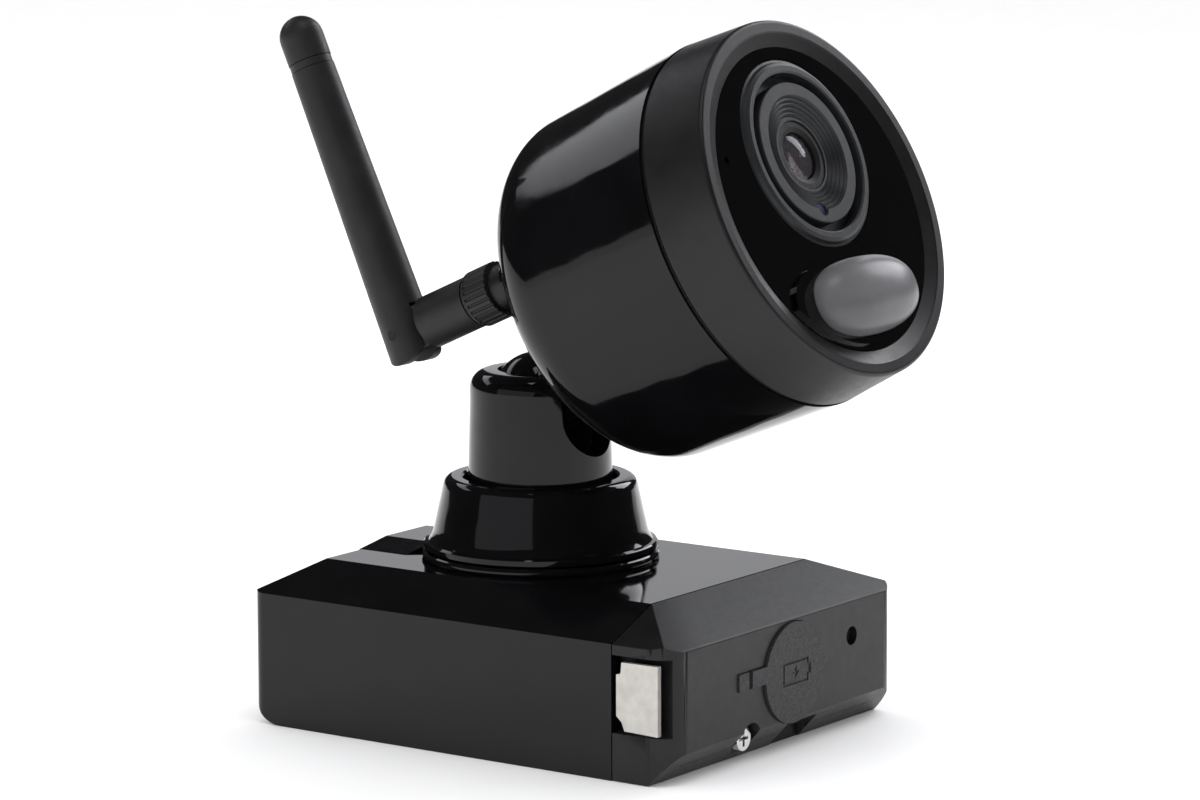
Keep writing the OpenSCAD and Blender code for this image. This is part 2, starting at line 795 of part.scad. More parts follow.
module front_window() {
    z = lens_up + head_up;
    color("#0c0c0e") in_head() difference() {
        union() {
            rod(window_s - window_t, window_s, window_r, 0, head_up);
            intersection() {
                oval(window_s - 0.1, dome_base_s, surround_w, surround_h);
                rod(0, 100, window_r - 1, 0, head_up);
            }
        }
        rod(60, 80, lens_hole_r, 0, z);
        oval(60, 80, dome_w + 0.25, dome_h + 0.25);
        // microphone hole
        rod(60, 80, 0.6, mic_x - 1, head_up + mic_up);
    }
}

module lens_surround() {
    color("#232325") in_head() intersection() {
        rod(60, 80, 25.9, 0, head_up);
        on_axis(lens_up + head_up, $fn = 96) polygon([
        [groove_r, floor_s], [groove_r, lip_s - 0.25], [groove_r + 0.3, lip_s],
        [ring_r - 0.6, lip_s], [ring_r, lip_s - 0.35], [ring_r + 0.3, window_s],
        [lens_hole_r - 0.15, window_s - 0.1], [lens_hole_r - 0.15, window_s - window_t],
        [lens_hole_r + 1.4, window_s - window_t - 0.1], [lens_hole_r + 1.4, window_s - window_t - 1.2],
        [baffle_r - 2, window_s - window_t - 1.2], [baffle_r - 2, floor_s]]);
    }
}

// ridged steps that fall towards the lens
module lens_baffle() {
    steps = 5;
    top = lip_s - 0.3;
    first_r = 10.5;
    run = (first_r - barrel_r - 0.4) / steps;
    drop = 1.4 / steps;
    color("#343438") in_head() difference() {
        on_axis(lens_up + head_up, $fn = 96) polygon(concat(
            [[barrel_r, floor_s + eps], [baffle_r, floor_s + eps], [baffle_r, top - 0.15], [baffle_r - 0.15, top]],
            [for (i = [0:steps - 1]) each [
                [first_r - i * run, top - i * drop],
                [first_r - i * run - 0.3, top - (i + 1) * drop - 0.2]]],
            [[barrel_r + 0.4, top - 1.4], [barrel_r, top - 1.4]]));
        rod(60, 80, pit_r, pit_x, lens_up + head_up - pit_down);
    }
}

module light_sensor() {
    color("#4a4034") in_head() rod(floor_s + eps, lip_s - 1.1, pit_r - 0.1, pit_x, lens_up + head_up - pit_down);
}

module pir_dome() {
    back = window_s - window_t;
    color("#2c2c30") in_head() difference() {
        union() {
            oval(back - 0.9, dome_base_s, dome_w, dome_h, dome_fullness);
            oval(back - 1.6, back - 0.9, dome_w + 0.9, dome_h + 0.9, dome_fullness);
            intersection() {
                egg(dome_w, dome_h);
                rod(dome_base_s - eps, far, far, 0, head_up);
            }
        }
        oval(back - 2, dome_base_s, dome_w - dome_rim, dome_h - dome_rim, dome_fullness);
        oval(dome_base_s - 1, dome_base_s + 2.4, dome_w - 3.4, dome_h - 2, dome_fullness);
    }
}

module microphone() {
    color("#c4c6c8") in_head() rod(window_s - window_t - 3, window_s - window_t - 0.3, 1.6, mic_x, head_up + mic_up);
}

// ---------- antenna ----------

module at_jack() {
    in_head() translate([ant_x, 0, ant_up]) children();
}

module jack_collar() {
    color("#1c1c1e") at_jack() difference() {
        rod(nut_s1 + gap, rear_s - jack_boss - eps, jack_collar_r);
        rod(0, 30, jack_r + eps);
    }
}

module antenna_jack() {
    color("#b08d57") at_jack() difference() {
        rod(jack_s, jack_s + 15, jack_r);
        rod(0, jack_s + 3.1, 1.9);
    }
    color("#b08d57") at_jack() rod(jack_s, jack_s + 3.2, 0.5);
}

module jack_nut() {
    color("#c4c6c8") at_jack() translate([0, -rear_s - jack_seat - eps, 0]) rotate([90, 0, 0])
        difference() {
            cylinder(h = 2, r = 4.6, $fn = 6);
            translate([0, 0, -1]) cylinder(h = 4, r = jack_r + eps);
        }
}

// knurled ring that screws onto the jack
module antenna_nut() {
    flutes = 26;
    color("#262628") at_jack() difference() {
        on_axis(0) polygon([[2.42, nut_s0], [nut_r - 0.5, nut_s0], [nut_r, nut_s0 + 0.7],
            [nut_r, nut_s1], [3.05, nut_s1], [3.05, nut_s0 + 0.8], [2.42, nut_s0 + 0.8]]);
        for (i = [0:flutes - 1]) rotate([0, i * 360 / flutes, 0])
            rod(nut_s0 + 1, nut_s1 + 1, 0.3, nut_r + 0.05, 0);
    }
}

module antenna_knuckle() {
    color("#262628") at_jack() difference() {
        union() {
            rod(knuckle_end, nut_s0 - joint_gap, knuckle_r);
            rod(nut_s0 - joint_gap - eps, nut_s0 + 1.2, 2.35);
            rod(nut_s0 + 0.9, nut_s0 + 1.5, 2.95);
            intersection() {
                block([-tongue_t / 2, -knuckle_end - 1, -tongue_r], [tongue_t / 2, pin_back, tongue_r]);
                rod(-20, 20, knuckle_r);
            }
            translate([-tongue_t / 2, pin_back, 0]) rotate([0, 90, 0]) cylinder(h = tongue_t, r = tongue_r);
        }
        translate([-far, pin_back, 0]) rotate([0, 90, 0]) cylinder(h = 2 * far, r = pin_r + 0.05);
        rod(5, nut_s0 + 2, 1);
    }
}

// frame of the mast: origin on the fold pin, mast along +Z
module at_pin() {
    at_jack() translate([0, pin_back, 0]) children();
}

module fold_pin() {
    color("#303032") at_pin() rotate([0, 90, 0]) translate([0, 0, -pin_half]) cylinder(h = 2 * pin_half, r = pin_r);
}

module antenna_mast() {
    slot = tongue_t / 2 + cheek_gap;
    color("#262628") at_pin() difference() {
        intersection() {
            translate([0, 0, -fork_r]) cylinder(h = mast_len + fork_r, r1 = mast_r + 0.05, r2 = mast_tip_r);
            union() {
                translate([-10, 0, 0]) rotate([0, 90, 0]) cylinder(h = 20, r = fork_r);
                block([-10, -10, 0], [10, 10, far]);
            }
        }
        block([-slot, -10, -10], [slot, 10, tongue_r + 0.7]);
        translate([0, 0, 10]) cylinder(h = far, r = 2.4);
        rotate([0, 90, 0]) translate([0, 0, -10]) cylinder(h = 20, r = pin_r);
    }
}

module tip_ring() {
    color("#202022") at_pin() translate([0, 0, mast_len + 0.12]) difference() {
        cylinder(h = 1.3, r = mast_tip_r - 0.1);
        translate([0, 0, -1]) cylinder(h = 4, r = 2.4);
    }
}

module antenna_tip() {
    dome_z = mast_len + 5.9;
    color("#262628") at_pin() rotate_extrude() polygon(concat(
        [[0, mast_len + 1.54], [mast_tip_r, mast_len + 1.54]],
        arc([0, dome_z], mast_tip_r, 0, 90), [[0, mast_len + 1.54]]));
}

module antenna_core() {
    color("#b87333") at_pin() translate([0, 0, 10.2]) cylinder(h = mast_len - 9.5, r = 1.1);
    color("#b87333") at_pin() translate([0, 0, 16]) cylinder(h = 20, r = 2.1);
}

base_shell();
shell_contacts();
friction_washer();
lock_collar();
swivel_post();
ball_seat();
seat_springs();
seat_plug();
pivot_ball();
stem_clip();
battery_cap();
cap_seal();
battery_tray();
battery_cells();
cell_straps();
pack_contacts();
charge_board();
usb_socket();
status_led();
port_anchor();
port_cover();
latch_plate();
latch_spring();
lock_screw();
head_shell();
shell_seal();
stem_bush();
bush_screws();
chassis();
main_board();
main_chips();
radio_can();
sensor_board();
image_sensor();
lens_holder();
lens_barrel();
front_glass();
led_board();
ir_leds();
pir_sensor();
front_bezel();
front_window();
lens_surround();
lens_baffle();
light_sensor();
pir_dome();
microphone();
jack_collar();
antenna_jack();
jack_nut();
antenna_nut();
antenna_knuckle();
fold_pin();
antenna_mast();
tip_ring();
antenna_tip();
antenna_core();
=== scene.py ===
import bpy, bmesh, json, math
from mathutils import Matrix, Vector


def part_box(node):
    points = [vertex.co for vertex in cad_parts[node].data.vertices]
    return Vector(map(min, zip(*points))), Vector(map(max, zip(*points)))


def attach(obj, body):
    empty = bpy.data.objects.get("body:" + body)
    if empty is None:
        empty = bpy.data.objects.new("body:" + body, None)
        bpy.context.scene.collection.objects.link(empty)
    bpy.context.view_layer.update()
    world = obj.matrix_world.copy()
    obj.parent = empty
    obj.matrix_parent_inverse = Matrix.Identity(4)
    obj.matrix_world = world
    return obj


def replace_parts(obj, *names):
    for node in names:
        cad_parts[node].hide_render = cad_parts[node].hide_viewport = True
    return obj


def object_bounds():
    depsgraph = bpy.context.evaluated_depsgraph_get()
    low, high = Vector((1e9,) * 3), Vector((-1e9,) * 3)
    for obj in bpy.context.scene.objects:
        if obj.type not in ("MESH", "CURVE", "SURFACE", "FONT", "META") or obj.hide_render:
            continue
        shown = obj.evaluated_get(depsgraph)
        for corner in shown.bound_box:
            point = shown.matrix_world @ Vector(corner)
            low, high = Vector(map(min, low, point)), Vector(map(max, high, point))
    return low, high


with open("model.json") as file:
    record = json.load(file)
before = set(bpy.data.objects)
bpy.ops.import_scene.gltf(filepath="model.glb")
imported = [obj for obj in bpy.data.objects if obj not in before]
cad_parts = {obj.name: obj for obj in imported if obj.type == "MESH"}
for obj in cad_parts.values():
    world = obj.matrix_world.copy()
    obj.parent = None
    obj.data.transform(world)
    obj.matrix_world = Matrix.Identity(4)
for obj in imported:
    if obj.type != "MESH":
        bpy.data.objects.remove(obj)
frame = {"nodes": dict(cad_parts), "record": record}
nodes = frame["nodes"]
cad_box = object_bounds()
scene = bpy.context.scene
scene.view_settings.view_transform = "Standard"

# ---------------------------------------------------------------- camera
AZIMUTH, ELEVATION, ROLL = (math.radians(v) for v in (-54.56, 9.40, -0.185))
CAMERA_AT = Vector((-0.7214, -0.5266, 0.2049))
back = Vector((math.sin(AZIMUTH) * math.cos(ELEVATION), -math.cos(AZIMUTH) * math.cos(ELEVATION),
               math.sin(ELEVATION)))
right = Vector((math.cos(AZIMUTH), math.sin(AZIMUTH), 0))
up = back.cross(right)
right_r = math.cos(ROLL) * right + math.sin(ROLL) * up
up_r = -math.sin(ROLL) * right + math.cos(ROLL) * up
camera = bpy.data.objects.new("camera", bpy.data.cameras.new("camera"))
camera.matrix_world = Matrix((right_r, up_r, back)).transposed().to_4x4()
camera.matrix_world.translation = CAMERA_AT
camera.data.sensor_width = 36
camera.data.lens = 151.7
camera.data.clip_start, camera.data.clip_end = 0.05, 60
scene.collection.objects.link(camera)
scene.camera = camera

# ---------------------------------------------------------------- materials
MM = 0.001


class Shader:
    """A Principled material whose pattern nodes all read object coordinates."""

    def __init__(self, name, **sockets):
        self.mat = bpy.data.materials.new(name)
        self.mat.use_nodes = True
        self.tree = self.mat.node_tree
        self.bsdf = self.tree.nodes["Principled BSDF"]
        self.coords = self.tree.nodes.new("ShaderNodeTexCoord").outputs["Object"]
        for key, value in sockets.items():
            self.bsdf.inputs[key.replace("_", " ").title().replace("Ior", "IOR")].default_value = value

    def link(self, a, b):
        self.tree.links.new(a, b)

    def noise(self, size, detail=2.0, rough=0.5):
        """Noise with features about size metres across."""
        n = self.tree.nodes.new("ShaderNodeTexNoise")
        n.inputs["Scale"].default_value = 1 / size
        n.inputs["Detail"].default_value = detail
        n.inputs["Roughness"].default_value = rough
        self.link(self.coords, n.inputs["Vector"])
        return n.outputs["Fac"]

    def cells(self, size):
        n = self.tree.nodes.new("ShaderNodeTexVoronoi")
        n.inputs["Scale"].default_value = 1 / size
        self.link(self.coords, n.inputs["Vector"])
        return n.outputs["Distance"]

    def rings(self, size, axis):
        """Fine turned or brushed lines square to an axis."""
        n = self.tree.nodes.new("ShaderNodeTexWave")
        n.bands_direction = axis
        n.inputs["Scale"].default_value = 1 / size / 20
        n.inputs["Distortion"].default_value = 0.6
        n.inputs["Detail"].default_value = 2
        self.link(self.coords, n.inputs["Vector"])
        return n.outputs["Fac"]

    def span(self, value, low, high, start=0.3, end=0.7):
        n = self.tree.nodes.new("ShaderNodeMapRange")
        n.inputs["From Min"].default_value, n.inputs["From Max"].default_value = start, end
        n.inputs["To Min"].default_value, n.inputs["To Max"].default_value = low, high
        self.link(value, n.inputs["Value"])
        return n.outputs["Result"]

    def blend(self, value, a, b, start=0.35, end=0.65):
        n = self.tree.nodes.new("ShaderNodeValToRGB")
        n.color_ramp.elements[0].position, n.color_ramp.elements[1].position = start, end
        n.color_ramp.elements[0].color, n.color_ramp.elements[1].color = (*a, 1), (*b, 1)
        self.link(value, n.inputs["Fac"])
        return n.outputs["Color"]

    def colour(self, value, a, b, start=0.35, end=0.65):
        self.link(self.blend(value, a, b, start, end), self.bsdf.inputs["Base Color"])
        return self

    def rough(self, value, low, high, start=0.3, end=0.7):
        self.link(self.span(value, low, high, start, end), self.bsdf.inputs["Roughness"])
        return self

    def bump(self, *layers):
        """layers are (height, strength, depth in metres), the coarsest first."""
        normal = None
        for value, strength, depth in layers:
            n = self.tree.nodes.new("ShaderNodeBump")
            n.inputs["Strength"].default_value = strength
            n.inputs["Distance"].default_value = depth
            self.link(value, n.inputs["Height"])
            if normal:
                self.link(normal, n.inputs["Normal"])
            normal = n.outputs["Normal"]
        self.link(normal, self.bsdf.inputs["Normal"])
        return self


def gloss_shell():
    s = Shader("gloss_shell", ior=1.37)
    s.colour(s.noise(12 * MM), (0.0022, 0.0022, 0.0026), (0.0032, 0.0032, 0.0037))
    s.rough(s.noise(3 * MM, 5, 0.65), 0.045, 0.10)
    return s.bump((s.noise(2.6 * MM, 1), 0.10, 0.02 * MM), (s.noise(0.12 * MM, 2), 0.05, 0.01 * MM)).mat


def satin(name, dark, light, low, high, grain, strength):
    """Moulded plastic with a spark-eroded grain."""
    s = Shader(name, ior=1.41)
    s.colour(s.noise(5 * MM, 4), dark, light)
    s.rough(s.noise(1.5 * MM, 4, 0.6), low, high)
    return s.bump((s.noise(6 * MM, 1), 0.05, 0.04 * MM), (s.noise(grain, 3, 0.7), strength, 0.03 * MM)).mat


def rubber(name, dark, light):
    s = Shader(name, ior=1.45)
    s.colour(s.noise(0.35 * MM, 3, 0.8), dark, light, 0.4, 0.62)
    s.rough(s.noise(0.9 * MM, 4), 0.50, 0.72)
    return s.bump((s.noise(1.4 * MM, 3), 0.25, 0.05 * MM), (s.cells(0.22 * MM), 0.35, 0.03 * MM)).mat


def window():
    s = Shader("front_window", ior=1.49, coat_weight=0.3, coat_roughness=0.01)
    s.colour(s.noise(9 * MM), (0.0008, 0.0008, 0.001), (0.0014, 0.0012, 0.0014))
    s.rough(s.noise(4 * MM, 5, 0.7), 0.015, 0.05)
    return s.bump((s.noise(14 * MM, 1), 0.03, 0.02 * MM)).mat


def dome():
    s = Shader("dome", ior=1.36)
    s.colour(s.noise(6 * MM, 3), (0.092, 0.092, 0.098), (0.108, 0.108, 0.114))
    s.rough(s.noise(2.2 * MM, 4, 0.6), 0.30, 0.36)
    return s.bump((s.noise(3 * MM, 1), 0.02, 0.02 * MM), (s.noise(0.2 * MM, 3), 0.03, 0.01 * MM)).mat


def glass(name, tint, coat):
    s = Shader(name, ior=1.27, transmission_weight=0.92, specular_tint=(*coat, 1))
    s.colour(s.noise(3 * MM), tint, tuple(v * 0.9 for v in tint))
    return s.rough(s.noise(1.5 * MM, 4), 0.0, 0.02).mat


def metal(name, a, b, low, high, lines=None, metallic=1.0):
    """lines is the axis that brushed or turned lines are square to."""
    s = Shader(name, metallic=metallic)
    s.colour(s.noise(2.5 * MM, 4, 0.6), a, b)
    s.rough(s.noise(0.8 * MM, 5, 0.65), low, high)
    fine = s.rings(0.12 * MM, lines) if lines else s.noise(0.18 * MM, 3, 0.7)
    return s.bump((s.noise(3 * MM, 2), 0.06, 0.04 * MM), (fine, 0.12, 0.01 * MM)).mat


def plain(name, a, b, low, high, size=0.8 * MM, **sockets):
    """Painted, sleeved or moulded small part."""
    s = Shader(name, **sockets)
    s.colour(s.noise(size * 4, 4, 0.6), a, b)
    s.rough(s.noise(size, 4), low, high)
    return s.bump((s.noise(size * 0.5, 3), 0.15, 0.02 * MM)).mat


def board():
    """Solder mask with tracks showing through as paler lines."""
    s = Shader("circuit_board", ior=1.5, coat_weight=0.4, coat_roughness=0.15)
    s.colour(s.cells(1.7 * MM), (0.012, 0.085, 0.035), (0.03, 0.17, 0.07), 0.45, 0.5)
    s.rough(s.noise(0.6 * MM, 4), 0.25, 0.42)
    return s.bump((s.cells(1.7 * MM), 0.35, 0.04 * MM), (s.noise(0.3 * MM, 2), 0.1, 0.02 * MM)).mat


def grey(v, tint=1.0):
    return (v, v, v * tint)


MATERIALS = {
    "gloss_shell": gloss_shell(),
    "satin_bezel": satin("satin_bezel", grey(0.0055, 1.06), grey(0.0078, 1.06), 0.35, 0.43, 0.2 * MM, 0.55),
    "antenna_plastic": satin("antenna_plastic", grey(0.0095), grey(0.0125), 0.42, 0.52, 0.22 * MM, 0.5),
    "lens_trim": satin("lens_trim", (0.011, 0.0116, 0.0132), (0.016, 0.0168, 0.0188), 0.38, 0.48,
                       0.14 * MM, 0.5),
    "lens_black": satin("lens_black", grey(0.004), grey(0.006), 0.45, 0.6, 0.12 * MM, 0.3),
    "inner_plastic": satin("inner_plastic", grey(0.03), grey(0.04), 0.4, 0.55, 0.2 * MM, 0.3),
    "chip_black": satin("chip_black", grey(0.012), grey(0.018), 0.45, 0.6, 0.1 * MM, 0.4),
    "front_window": window(),
    # the grey tint on the lens glass is painted shade: it darkens everything seen through it inside the
    # barrel
    "lens_glass": glass("lens_glass", (0.34, 0.31, 0.33), (0.7, 0.8, 1.0)),
    # amber colour of the inner lens is a painted glint, standing in for reflections off the lens coating
    "inner_glass_painted_glint": plain("inner_glass_painted_glint", (0.5, 0.2, 0.06), (0.16, 0.06, 0.05), 0.1, 0.2, 0.3 * MM),
    "dome": dome(),
    "seal_rubber": rubber("seal_rubber", grey(0.004), grey(0.006)),
    "cover_rubber": rubber("cover_rubber", grey(0.014, 1.05), grey(0.050, 1.05)),
    "zinc_screw": metal("zinc_screw", grey(0.72), grey(0.82), 0.10, 0.2),
    "spring_steel": metal("spring_steel", grey(0.45), grey(0.58), 0.2, 0.32, "X"),
    "steel_pin": metal("steel_pin", grey(0.02), grey(0.035), 0.32, 0.45),
    "steel_can": metal("steel_can", grey(0.55), grey(0.66), 0.25, 0.38, "X"),
    "brass_jack": metal("brass_jack", (0.62, 0.42, 0.17), (0.72, 0.52, 0.24), 0.18, 0.3),
    "copper": metal("copper", (0.62, 0.28, 0.14), (0.72, 0.36, 0.2), 0.25, 0.35),
    "gold_contact": metal("gold_contact", (0.8, 0.55, 0.2), (0.88, 0.64, 0.28), 0.2, 0.3),
    "nickel_strip": metal("nickel_strip", grey(0.5), grey(0.6), 0.25, 0.36, "Y"),
    "latch_silver": metal("latch_silver", (0.50, 0.485, 0.445), (0.60, 0.585, 0.54), 0.34, 0.40, None, 0.5),
    "circuit_board": board(),
    "cell_wrap": plain("cell_wrap", (0.012, 0.05, 0.18), (0.018, 0.065, 0.22), 0.25, 0.38, 2 * MM,
                       coat_weight=0.3),
    "light_pipe": plain("light_pipe", (0.012, 0.012, 0.013), (0.02, 0.02, 0.022), 0.1, 0.2, 0.6 * MM),
    "led_clear": plain("led_clear", (0.5, 0.52, 0.56), (0.6, 0.62, 0.66), 0.08, 0.15, 0.5 * MM,
                       coat_weight=0.5),
    "nylon": plain("nylon", (0.010, 0.010, 0.011), (0.016, 0.016, 0.018), 0.35, 0.5, 1 * MM),
    "sensor_die": plain("sensor_die", (0.02, 0.025, 0.05), (0.05, 0.04, 0.09), 0.08, 0.16, 0.4 * MM,
                        coat_weight=0.5),
}

for part in frame["record"]["subparts"]:
    shown = nodes[part["node"]]
    shown.data.materials.clear()
    shown.data.materials.append(MATERIALS[part["material_slot"]])


MERGE_DISTANCE = 0.002 * MM
SHARP_ANGLE = math.radians(26)


def smooth_nodes():
    """Node tree that shades a mesh smooth and leaves edges above an angle sharp."""
    tree = bpy.data.node_groups.new("even_shading", "GeometryNodeTree")
    for way in ("INPUT", "OUTPUT"):
        tree.interface.new_socket("Geometry", in_out=way, socket_type="NodeSocketGeometry")
    start, end = tree.nodes.new("NodeGroupInput"), tree.nodes.new("NodeGroupOutput")
    merge = tree.nodes.new("GeometryNodeMergeByDistance")
    merge.inputs["Distance"].default_value = MERGE_DISTANCE
    faces, edges = (tree.nodes.new("GeometryNodeSetShadeSmooth") for _ in range(2))
    edges.domain = "EDGE"
    angle = tree.nodes.new("GeometryNodeInputMeshEdgeAngle")
    gentle = tree.nodes.new("FunctionNodeCompare")
    gentle.operation = "LESS_THAN"
    gentle.inputs["B"].default_value = SHARP_ANGLE
    tree.links.new(angle.outputs["Unsigned Angle"], gentle.inputs["A"])
    tree.links.new(gentle.outputs["Result"], edges.inputs["Shade Smooth"])
    chain = [start, merge, faces, edges, end]
    for a, b in zip(chain, chain[1:]):
        tree.links.new(a.outputs["Geometry"], b.inputs["Geometry"])
    return tree


EVEN_SHADING = smooth_nodes()
for name in ("head_shell", "lock_collar", "swivel_post", "pivot_ball"):
    nodes[name].modifiers.new("even_shading", "NODES").node_group = EVEN_SHADING
    nodes[name].modifiers.new("even_normals", "WEIGHTED_NORMAL").keep_sharp = True


# ---------------------------------------------------------------- floor and light
def quad(name, corners, material):
    mesh = bpy.data.meshes.new(name)
    bm = bmesh.new()
    bm.faces.new([bm.verts.new(c) for c in corners])
    bm.to_mesh(mesh)
    bm.free()
    o = bpy.data.objects.new(name, mesh)
    o.data.materials.append(material)
    scene.collection.objects.link(o)
    return o


paper = Shader("paper")
paper.colour(paper.noise(0.4), (0.88, 0.88, 0.88), (0.9, 0.9, 0.9)).rough(paper.noise(0.01), 0.7, 0.8)
floor_z = cad_box[0].z - 0.05 * MM
quad("floor", [(-8, -8, floor_z), (8, -8, floor_z), (8, 8, floor_z), (-8, 8, floor_z)], paper.mat)


LIGHT_AIM = Vector((0, -0.02, 0.06))
LIGHT_COLOUR = (0.95, 0.955, 1.0)


def softbox(name, direction, distance, size, watts):
    """Rectangular light that faces the camera body from the given direction."""
    light = bpy.data.lights.new(name, "AREA")
    light.shape = "RECTANGLE"
    light.size, light.size_y = size
    light.energy = watts
    light.color = LIGHT_COLOUR
    o = bpy.data.objects.new(name, light)
    d = Vector(direction).normalized()
    o.location = LIGHT_AIM + d * distance
    o.rotation_euler = (-d).to_track_quat("-Z", "Y").to_euler()
    scene.collection.objects.link(o)


# a broad wall at the left, two boxes behind, one at the upper right and one overhead
softbox("left_wall", (-0.985, 0.12, 0.20), 1.0, (1.25, 0.62), 1.4)
softbox("back_low", (0.86, 0.48, 0.20), 1.1, (0.50, 0.42), 0.52)
softbox("back_top", (0.10, 0.87, 0.55), 1.0, (0.8, 0.16), 0.75)
softbox("right_top", (0.86, -0.13, 0.48), 1.0, (0.52, 0.46), 4.2)
softbox("overhead", (-0.1, -0.1, 1), 1.2, (0.5, 0.5), 2.5)

# mirror rays see a darker world than other rays, so the gloss black stays black on a white floor
OPEN_WORLD, MIRRORED_WORLD = 1.2, 0.03
world = bpy.data.worlds.new("studio")
scene.world = world
world.use_nodes = True
sky = world.node_tree.nodes["Background"]
path = world.node_tree.nodes.new("ShaderNodeLightPath")
shade = world.node_tree.nodes.new("ShaderNodeMapRange")
shade.inputs["To Min"].default_value, shade.inputs["To Max"].default_value = OPEN_WORLD, MIRRORED_WORLD
world.node_tree.links.new(path.outputs["Is Glossy Ray"], shade.inputs["Value"])
world.node_tree.links.new(shade.outputs["Result"], sky.inputs["Strength"])
sky.inputs["Color"].default_value = (1, 1, 1, 1)

# ---------------------------------------------------------------- pieces
# in millimetres: lip ahead of the ball, head axis, lens axis and dome above the ball
LIP, HEAD_AXIS, LENS_UP, DOME_DOWN = 72.3, 12.1, 20.4, 18.2
X = Vector((1, 0, 0))
TILT = math.radians(24.5)
BALL = Vector((0, 0, 57)) * MM
FORWARD = Vector((0, -math.cos(TILT), math.sin(TILT)))
HEAD_UP = Vector((0, math.sin(TILT), math.cos(TILT)))


def head_point(x, ahead, height):
    """A point given in millimetres in the head's own frame."""
    return BALL + Vector((x * MM, 0, 0)) + FORWARD * ahead * MM + HEAD_UP * height * MM


def finish_piece(name, bm, body, slot, smooth=30, look=None):
    mesh = bpy.data.meshes.new(name)
    bm.to_mesh(mesh)
    bm.free()
    mesh.polygons.foreach_set("use_smooth", [True] * len(mesh.polygons))
    mesh.set_sharp_from_angle(angle=math.radians(smooth))
    o = bpy.data.objects.new(name, mesh)
    o.data.materials.append(MATERIALS[look or slot])
    scene.collection.objects.link(o)
    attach(o, body)
    return o


def lathe(name, centre, axis, side, profile, body, slot, steps=96, smooth=40, look=None):
    """Turned piece: profile is [(radius, height along axis)] in millimetres."""
    bm = bmesh.new()
    other = axis.cross(side)
    rings = []
    for r, h in profile:
        base = centre + axis * h * MM
        if r < 1e-6:
            rings.append([bm.verts.new(base)])
        else:
            turn = [2 * math.pi * i / steps for i in range(steps)]
            rings.append([bm.verts.new(base + (side * math.cos(t) + other * math.sin(t)) * r * MM)
                          for t in turn])
    for low, high in zip(rings, rings[1:]):
        for i in range(steps):
            ring = [low[i % len(low)], low[(i + 1) % len(low)],
                    high[(i + 1) % len(high)], high[i % len(high)]]
            ring = list(dict.fromkeys(ring))
            if len(ring) > 2:
                bm.faces.new(ring)
    bmesh.ops.recalc_face_normals(bm, faces=bm.faces)
    return finish_piece(name, bm, body, slot, smooth, look)


BLOCK_START = 0.4
SLIGHT_ANGLE = math.radians(12)


def rounded_block(planes, corner_edges, corner_radius, edge_radius, keep):
    """Convex block cut by planes, with two sizes of rounding. keep(edge) leaves an edge sharp."""
    bm = bmesh.new()
    bmesh.ops.create_cube(bm, size=BLOCK_START)
    for point, normal in planes:
        cut = bmesh.ops.bisect_plane(bm, geom=bm.verts[:] + bm.edges[:] + bm.faces[:], dist=1e-7,
                                     plane_co=Vector(point) * MM, plane_no=normal, clear_outer=True)
        edges = [g for g in cut["geom_cut"] if isinstance(g, bmesh.types.BMEdge)]
        bmesh.ops.contextual_create(bm, geom=edges)
    corners = [e for e in bm.edges if corner_edges(e)]
    bmesh.ops.bevel(bm, geom=corners, offset=corner_radius * MM, segments=10, profile=0.5, affect="EDGES",
                    clamp_overlap=True)
    sharp = [e for e in bm.edges if not keep(e) and e.calc_face_angle(0) > SLIGHT_ANGLE]
    bmesh.ops.bevel(bm, geom=sharp, offset=edge_radius * MM, segments=6, profile=0.5, affect="EDGES",
                    clamp_overlap=True)
    return bm


def boolean_piece(name, node, other, body, slot):
    """Piece that is a CAD node's mesh trimmed to a rounded block."""
    bm = bmesh.new()
    bm.from_mesh(nodes[node].data)
    bmesh.ops.remove_doubles(bm, verts=bm.verts, dist=0.001 * MM)
    piece = finish_piece(name, bm, body, slot)
    mesh = bpy.data.meshes.new(name + "_cutter")
    other.to_mesh(mesh)
    other.free()
    cutter = bpy.data.objects.new(name + "_cutter", mesh)
    scene.collection.objects.link(cutter)
    cut = piece.modifiers.new("trim", "BOOLEAN")
    cut.operation, cut.solver, cut.object = "INTERSECT", "EXACT", cutter
    bpy.context.view_layer.update()
    result = bpy.data.meshes.new_from_object(piece.evaluated_get(bpy.context.evaluated_depsgraph_get()))
    piece.modifiers.clear()
    piece.data = result
    piece.data.materials.clear()
    piece.data.materials.append(MATERIALS[slot])
    bpy.data.objects.remove(cutter)
    result.polygons.foreach_set("use_smooth", [True] * len(result.polygons))
    result.set_sharp_from_angle(angle=math.radians(28))
    piece.modifiers.new("even_normals", "WEIGHTED_NORMAL").keep_sharp = True
    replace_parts(piece, node)
    return piece


# soft-cornered battery cap, in millimetres; SKIN keeps it just inside the CAD cap
SKIN, CAP_BACK = 0.02, -36
CORNER_ROUND, EDGE_ROUND = 5.4, 2.6
# where each slope starts, how far it rises and how far it runs
SIDE_Z, SIDE_RISE, SIDE_RUN = 23.8, 5, 11.9
BROW_Z, BROW_RISE, BROW_RUN = 23.15, 5.6, 12.3
CHIN_Z, CHIN_RISE, CHIN_RUN = 5.5, 5, 5.5
cap_lo, cap_hi = (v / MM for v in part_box("battery_cap"))
half, end = cap_hi.x - SKIN, cap_lo.y + SKIN
cap_planes = [((half, 0, 0), (1, 0, 0)), ((-half, 0, 0), (-1, 0, 0)), ((0, end, 0), (0, -1, 0)),
              ((0, CAP_BACK, 0), (0, 1, 0)), ((0, 0, SKIN), (0, 0, -1)),
              ((0, 0, cap_hi.z - SKIN), (0, 0, 1)),
              ((half, 0, SIDE_Z), (SIDE_RISE, 0, SIDE_RUN)), ((-half, 0, SIDE_Z), (-SIDE_RISE, 0, SIDE_RUN)),
              ((0, end, BROW_Z), (0, -BROW_RISE, BROW_RUN)), ((0, end, CHIN_Z), (0, -CHIN_RUN, -CHIN_RISE))]


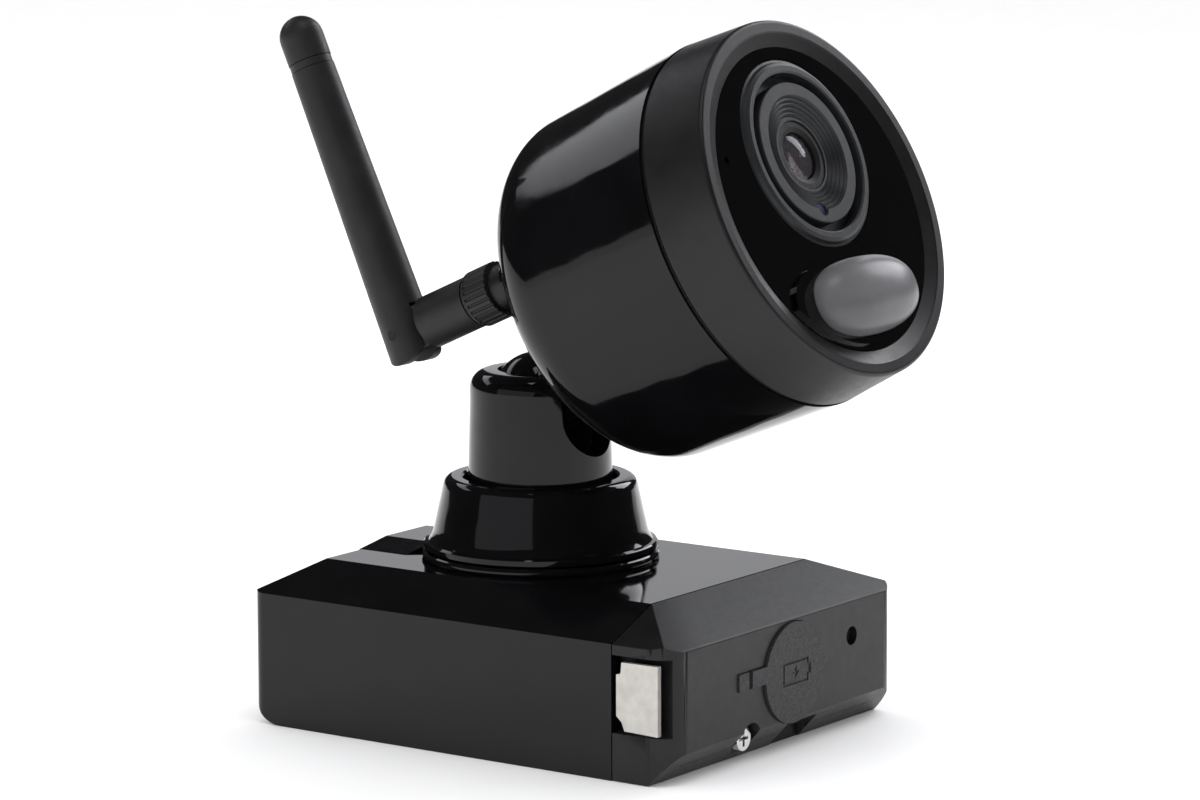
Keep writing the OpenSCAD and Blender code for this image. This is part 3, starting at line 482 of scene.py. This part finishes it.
def at_y(edge, y):
    return all(abs(v.co.y / MM - y) < 0.05 for v in edge.verts)


def upright_corner(edge):
    d = (edge.verts[0].co - edge.verts[1].co).normalized()
    return at_y(edge, end) and abs(d.z) > 0.9


block = rounded_block(cap_planes, upright_corner, CORNER_ROUND, EDGE_ROUND, lambda e: at_y(e, CAP_BACK))
boolean_piece("soft_cap", "battery_cap", block, "battery_pack", "satin_bezel")

# second element of the lens, seen deep in the barrel; its amber colour is a painted glint standing in for
# coating reflections
INNER_LENS_DEPTH = 4.75
INNER_LENS_PROFILE = [(0, -0.2), (1.9, -0.2), (1.95, 0.0), (1.7, 0.18), (1.2, 0.36), (0.6, 0.46), (0, 0.5)]
lathe("inner_lens", head_point(0, LIP - INNER_LENS_DEPTH, LENS_UP), FORWARD, X, INNER_LENS_PROFILE, "head",
      "lens_glass", look="inner_glass_painted_glint")

# motion sensor lens: a squared-off half egg on a thin flange
DOME_W, DOME_H, DOME_RISE = 13.95, 6.85, 6.6
DOME_SQUARE, DOME_CROWN = 2.35, 2.15
DOME_SINK, DOME_STEPS, CROWN_STEPS = 0.2, 96, 24
FLANGE_BACK, FLANGE_FRONT, FLANGE_OUT = -3.4, -2.8, 0.7
dome_centre = head_point(0, LIP - DOME_SINK, HEAD_AXIS - DOME_DOWN)


def superellipse(angle, power):
    """Point of a unit superellipse in the direction of the angle; power 2 is a circle."""
    c, s = math.cos(angle), math.sin(angle)
    reach = (abs(c) ** power + abs(s) ** power) ** (-1 / power)
    return c * reach, s * reach


def oval_ring(bm, scale, rise, grow=0.0):
    ring = []
    for i in range(DOME_STEPS):
        across, upward = superellipse(2 * math.pi * i / DOME_STEPS, DOME_SQUARE)
        ring.append(bm.verts.new(dome_centre + X * (DOME_W * scale + grow) * across * MM
                                 + HEAD_UP * (DOME_H * scale + grow) * upward * MM + FORWARD * rise * MM))
    return ring


bm = bmesh.new()
crown = [superellipse(math.pi / 2 * i / CROWN_STEPS, DOME_CROWN) for i in range(CROWN_STEPS)]
rings = [oval_ring(bm, 1, FLANGE_BACK, FLANGE_OUT), oval_ring(bm, 1, FLANGE_FRONT, FLANGE_OUT),
         oval_ring(bm, 1, FLANGE_FRONT)]
rings += [oval_ring(bm, scale, DOME_RISE * rise) for scale, rise in crown]
for low, high in zip(rings, rings[1:]):
    for i in range(DOME_STEPS):
        j = (i + 1) % DOME_STEPS
        bm.faces.new([low[i], low[j], high[j], high[i]])
bm.faces.new(rings[0])
bm.faces.new(rings[-1])
bmesh.ops.recalc_face_normals(bm, faces=bm.faces)
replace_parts(finish_piece("dome_lens", bm, "head", "dome", smooth=40), "pir_dome")
